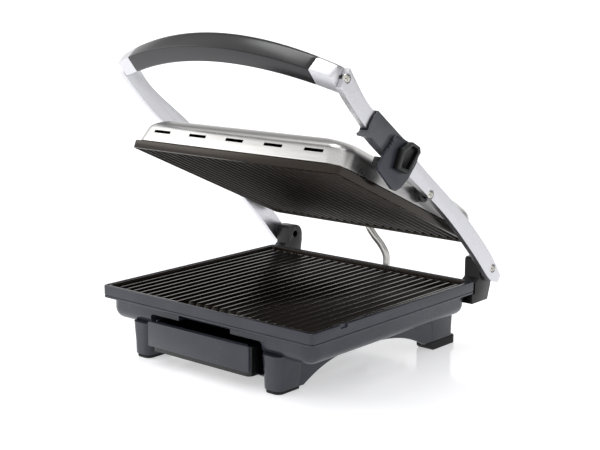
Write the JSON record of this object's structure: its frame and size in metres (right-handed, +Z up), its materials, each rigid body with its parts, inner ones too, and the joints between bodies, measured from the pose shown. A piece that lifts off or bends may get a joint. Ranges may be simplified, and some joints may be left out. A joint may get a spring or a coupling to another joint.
{
  "type": "contact grill",
  "caption": "Panini press with ribbed lower and upper plates, a bowed handle on side arms, a vented steel cover, a front drip tray and a height slider.",
  "frame": {"origin": "middle of the bounding box on the table, under the press", "axes": "+Z up, -Y towards the user and the drip tray, +X towards the arm with the height slider"},
  "size_m": [0.3532, 0.342, 0.372],
  "materials": {
    "housing_plastic": "satin blue-grey moulded plastic",
    "black_plastic": "satin black heat-proof plastic",
    "grip_plastic": "satin anthracite grip",
    "rubber": "matt black rubber",
    "coated_plate": "die-cast aluminium with a dark non-stick coating",
    "stainless_cover": "brushed stainless steel sheet",
    "cast_alloy": "satin silver cast aluminium",
    "nickel_screw": "nickel-plated steel",
    "plated_sheet": "zinc-plated steel",
    "ceramic": "glazed ceramic",
    "conduit": "smooth grey metal-look sheath"
  },
  "bodies": {
    "base": {"base_housing": "housing_plastic", "service_cover": "plated_sheet", "cover_screw_1": "nickel_screw", "cover_screw_2": "nickel_screw", "cover_screw_3": "nickel_screw", "cover_screw_4": "nickel_screw", "right_front_foot_pad": "rubber", "left_front_foot_pad": "rubber", "right_rear_foot": "rubber", "left_rear_foot": "rubber", "lower_grill_plate": "coated_plate", "lower_heating_element": "plated_sheet", "lower_thermostat": "ceramic", "lower_thermal_fuse": "nickel_screw", "terminal_block": "ceramic", "mains_inlet_gland": "black_plastic", "right_hinge_post": "black_plastic", "left_hinge_post": "black_plastic", "right_hinge_bolt": "nickel_screw", "left_hinge_bolt": "nickel_screw", "conduit_lower": "conduit", "conduit_grommet_lower": "rubber", "right_tray_runner": "plated_sheet", "left_tray_runner": "plated_sheet"},
    "tray": {"drip_tray": "black_plastic", "drip_tray_front": "housing_plastic"},
    "handle": {"right_arm": "cast_alloy", "left_arm": "cast_alloy", "handle_grip": "grip_plastic", "handle_inner_bar": "cast_alloy", "right_grip_corner": "cast_alloy", "left_grip_corner": "cast_alloy", "right_corner_screw": "nickel_screw", "left_corner_screw": "nickel_screw", "right_pivot_bolt": "nickel_screw", "left_pivot_bolt": "nickel_screw", "slider_guide_sleeve": "housing_plastic"},
    "slider": {"height_slider": "housing_plastic", "slider_thumb_grip": "black_plastic", "slider_foot": "black_plastic"},
    "upper": {"upper_grill_plate": "coated_plate", "upper_cover": "stainless_cover", "conduit_grommet_upper": "rubber", "upper_heating_element": "plated_sheet", "upper_heat_shield": "plated_sheet", "upper_thermostat": "ceramic", "upper_thermal_fuse": "nickel_screw", "right_pivot_lug": "cast_alloy", "left_pivot_lug": "cast_alloy", "right_pivot_spacer": "black_plastic", "left_pivot_spacer": "black_plastic", "conduit_upper": "conduit"}
  },
  "joints": [
    {"name": "handle_hinge", "type": "hinge", "parent": "base", "child": "handle", "pos_m": [-0.0042, 0.154, 0.0903], "axis": [-1, 0, 0], "range_deg": [-35, 52], "deforming": ["conduit_lower"]},
    {"name": "plate_tilt", "type": "hinge", "parent": "handle", "child": "upper", "pos_m": [-0.0042, 0.0271, 0.1955], "axis": [-1, 0, 0], "range_deg": [-17.5, 12], "deforming": ["conduit_upper"]},
    {"name": "tray_slide", "type": "slide", "parent": "base", "child": "tray", "axis": [0, -1, 0], "range_m": [0, 0.16]},
    {"name": "height_slide", "type": "slide", "parent": "handle", "child": "slider", "axis": [0, -0.8141, 0.5807], "range_m": [0, 0.045]}
  ],
  "couplings": [
    {"joint": "plate_tilt", "follows": "handle_hinge", "ratio": -0.3169}
  ]
}
